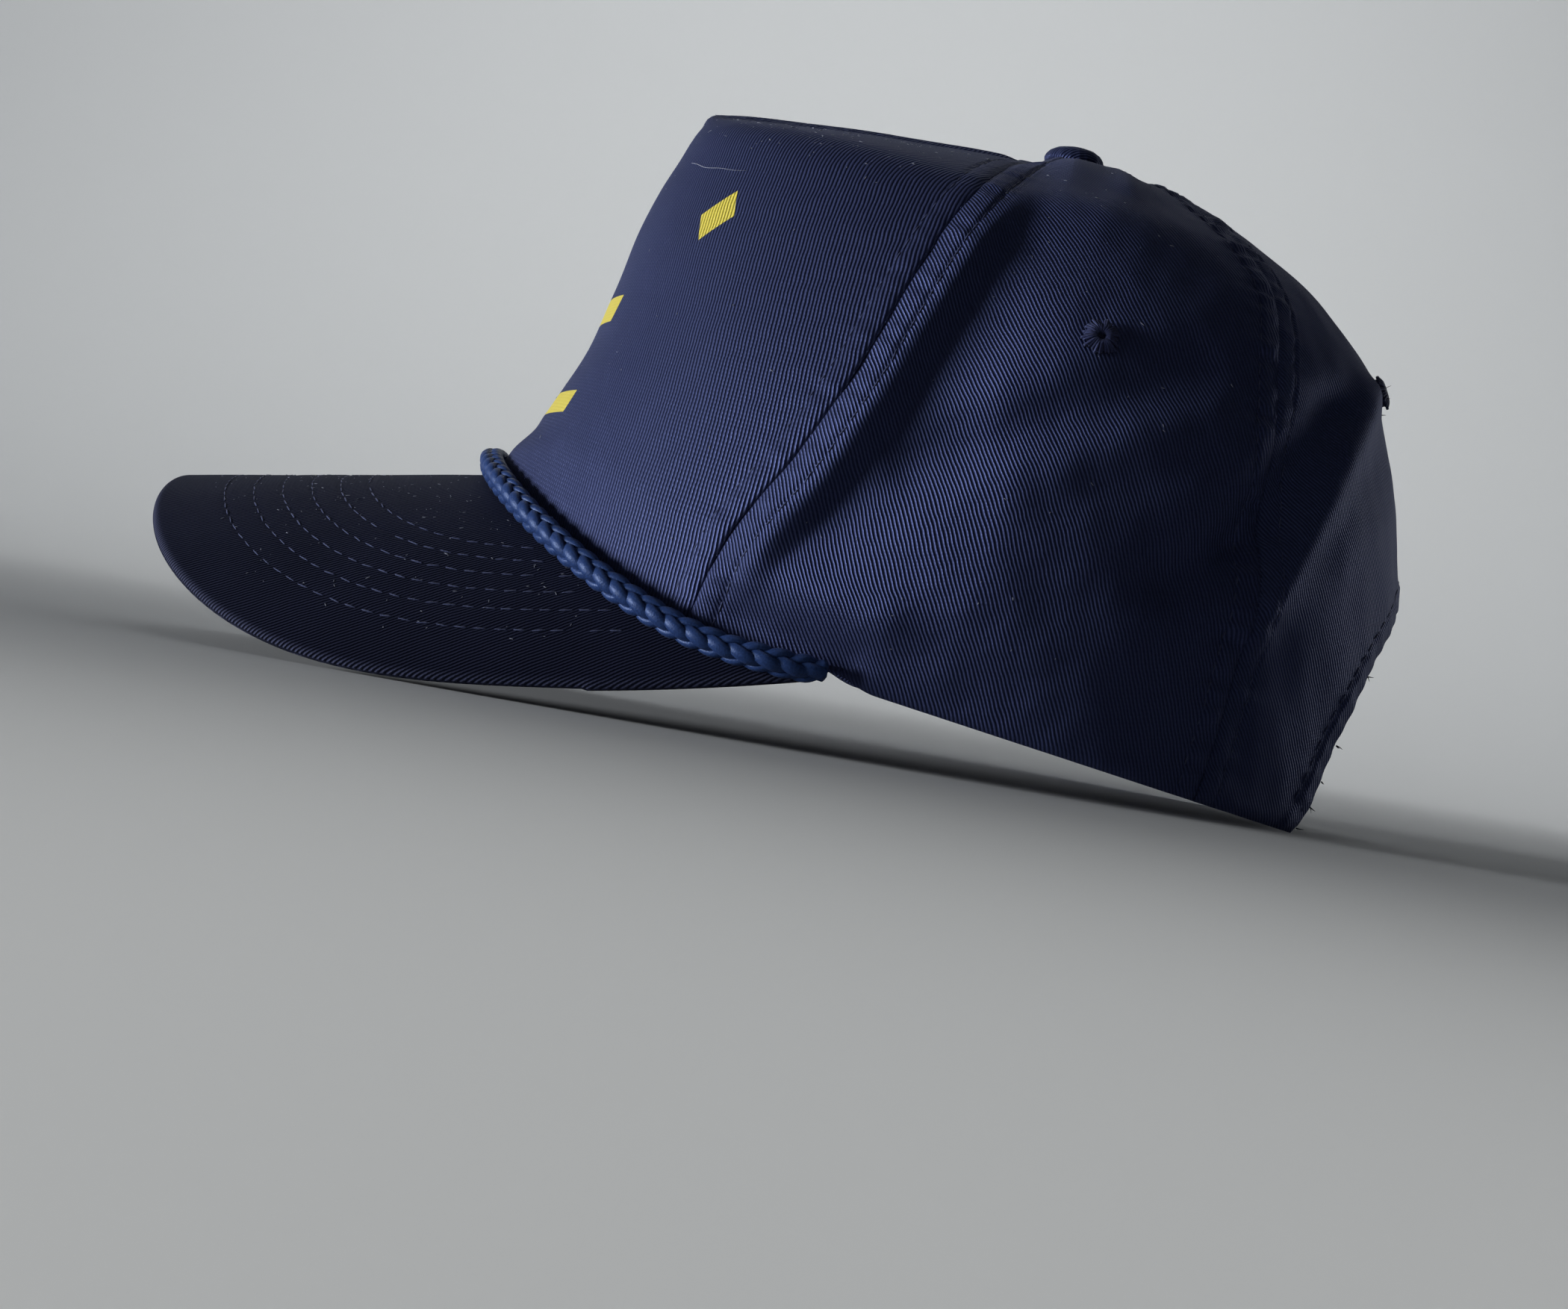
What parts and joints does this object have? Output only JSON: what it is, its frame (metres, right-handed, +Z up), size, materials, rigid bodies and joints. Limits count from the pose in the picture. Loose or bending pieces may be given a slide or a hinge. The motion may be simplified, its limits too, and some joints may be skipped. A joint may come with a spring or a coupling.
{
  "type": "snapback cap",
  "caption": "Five-panel twill cap with a tall stiff front, a curved peak with rows of stitching, a braided rope over the peak and a snap strap across a rear arch.",
  "frame": {"origin": "on the surface that the cap lies on, under the middle of its bounding box", "axes": "+Z up, the peak points to -Y, the wearer's left is +X"},
  "size_m": [0.1692, 0.2664, 0.1394],
  "materials": {
    "crown_twill": "dark navy cotton twill, matt with a slight sheen along its ribs",
    "peak_twill": "the same navy twill over a stiff board, with rows of topstitching",
    "rope_cord": "glossy blue braided polyester cord",
    "sweatband_cotton": "matt dark cotton tape",
    "strap_plastic": "dark satin moulded plastic",
    "eyelet_thread": "navy embroidery thread with a soft sheen"
  },
  "bodies": {
    "root": {"front_panel": "crown_twill", "side_panel_left": "crown_twill", "side_panel_right": "crown_twill", "back_panel_left": "crown_twill", "back_panel_right": "crown_twill", "peak": "peak_twill", "top_button": "crown_twill", "rope": "rope_cord", "sweatband": "sweatband_cotton", "snap_strap": "strap_plastic", "eyelet_side_left": "eyelet_thread", "eyelet_side_right": "eyelet_thread", "eyelet_back_left": "eyelet_thread", "eyelet_back_right": "eyelet_thread"}
  },
  "joints": []
}
